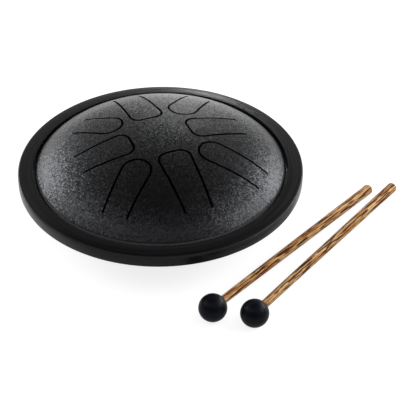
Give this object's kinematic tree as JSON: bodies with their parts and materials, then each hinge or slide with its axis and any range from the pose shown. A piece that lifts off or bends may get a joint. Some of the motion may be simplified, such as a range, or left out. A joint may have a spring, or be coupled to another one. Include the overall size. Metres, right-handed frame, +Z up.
{
  "type": "steel tongue drum",
  "caption": "Round steel drum: a slitted sounding dome and a bowl held rim to rim in a rubber band on rubber feet, with rubber-ball beaters lying beside it.",
  "frame": {"origin": "on the floor under the feet, on the drum's axis", "axes": "+Z up along the drum's axis; +X to the right and +Y away from the viewer in the picture, with the first tongue 22.5 degrees from +X"},
  "size_m": [0.2434, 0.2097, 0.0574],
  "materials": {
    "coated_steel": "black coat with a fine speckle, satin",
    "rim_rubber": "satin black",
    "foot_rubber": "matt black",
    "ball_rubber": "smooth matt blue-black",
    "striped_wood": "brown with dark streaks along the grain, oiled"
  },
  "bodies": {
    "drum": {"top_shell": "coated_steel", "bottom_shell": "coated_steel", "rim_band": "rim_rubber", "foot_1": "foot_rubber", "foot_2": "foot_rubber", "foot_3": "foot_rubber"},
    "tongue_1": {"tongue_1": "coated_steel"},
    "tongue_2": {"tongue_2": "coated_steel"},
    "tongue_3": {"tongue_3": "coated_steel"},
    "tongue_4": {"tongue_4": "coated_steel"},
    "tongue_5": {"tongue_5": "coated_steel"},
    "tongue_6": {"tongue_6": "coated_steel"},
    "tongue_7": {"tongue_7": "coated_steel"},
    "tongue_8": {"tongue_8": "coated_steel"},
    "beater_left": {"stick_left": "striped_wood", "ball_left": "ball_rubber"},
    "beater_right": {"stick_right": "striped_wood", "ball_right": "ball_rubber"}
  },
  "joints": [
    {"name": "tongue_1_flex", "type": "hinge", "parent": "drum", "child": "tongue_1", "pos_m": [0.05097, 0.02111, 0.04678], "axis": [-0.3827, 0.9239, 0], "range_deg": [-0.5, 0.5], "stiffness_Nm_per_rad": 1, "springref_deg": 0.07},
    {"name": "tongue_2_flex", "type": "hinge", "parent": "drum", "child": "tongue_2", "pos_m": [0.0236, 0.05698, 0.04385], "axis": [-0.9239, 0.3827, 0], "range_deg": [-0.5, 0.5], "stiffness_Nm_per_rad": 1, "springref_deg": 0.06},
    {"name": "tongue_3_flex", "type": "hinge", "parent": "drum", "child": "tongue_3", "pos_m": [-0.02418, 0.05837, 0.04309], "axis": [-0.9239, -0.3827, 0], "range_deg": [-0.5, 0.5], "stiffness_Nm_per_rad": 1, "springref_deg": 0.11},
    {"name": "tongue_4_flex", "type": "hinge", "parent": "drum", "child": "tongue_4", "pos_m": [-0.05264, 0.0218, 0.04603], "axis": [-0.3827, -0.9239, 0], "range_deg": [-0.5, 0.5], "stiffness_Nm_per_rad": 1, "springref_deg": 0.04},
    {"name": "tongue_5_flex", "type": "hinge", "parent": "drum", "child": "tongue_5", "pos_m": [-0.04959, -0.02054, 0.04736], "axis": [0.3827, -0.9239, 0], "range_deg": [-0.5, 0.5], "stiffness_Nm_per_rad": 1, "springref_deg": 0.07},
    {"name": "tongue_6_flex", "type": "hinge", "parent": "drum", "child": "tongue_6", "pos_m": [-0.02586, -0.06243, 0.04061], "axis": [0.9239, -0.3827, 0], "range_deg": [-0.5, 0.5], "stiffness_Nm_per_rad": 1, "springref_deg": 0.08},
    {"name": "tongue_7_flex", "type": "hinge", "parent": "drum", "child": "tongue_7", "pos_m": [0.02448, -0.0591, 0.04266], "axis": [0.9239, 0.3827, 0], "range_deg": [-0.5, 0.5], "stiffness_Nm_per_rad": 1, "springref_deg": 0.12},
    {"name": "tongue_8_flex", "type": "hinge", "parent": "drum", "child": "tongue_8", "pos_m": [0.06409, -0.02655, 0.03949], "axis": [0.3827, 0.9239, 0], "range_deg": [-0.5, 0.5], "stiffness_Nm_per_rad": 1, "springref_deg": 0.09},
    {"name": "beater_left_lift", "type": "slide", "parent": "drum", "child": "beater_left", "axis": [0, 0, 1], "range_m": [0, 0.15]},
    {"name": "beater_right_lift", "type": "slide", "parent": "drum", "child": "beater_right", "axis": [0, 0, 1], "range_m": [0, 0.15]}
  ]
}
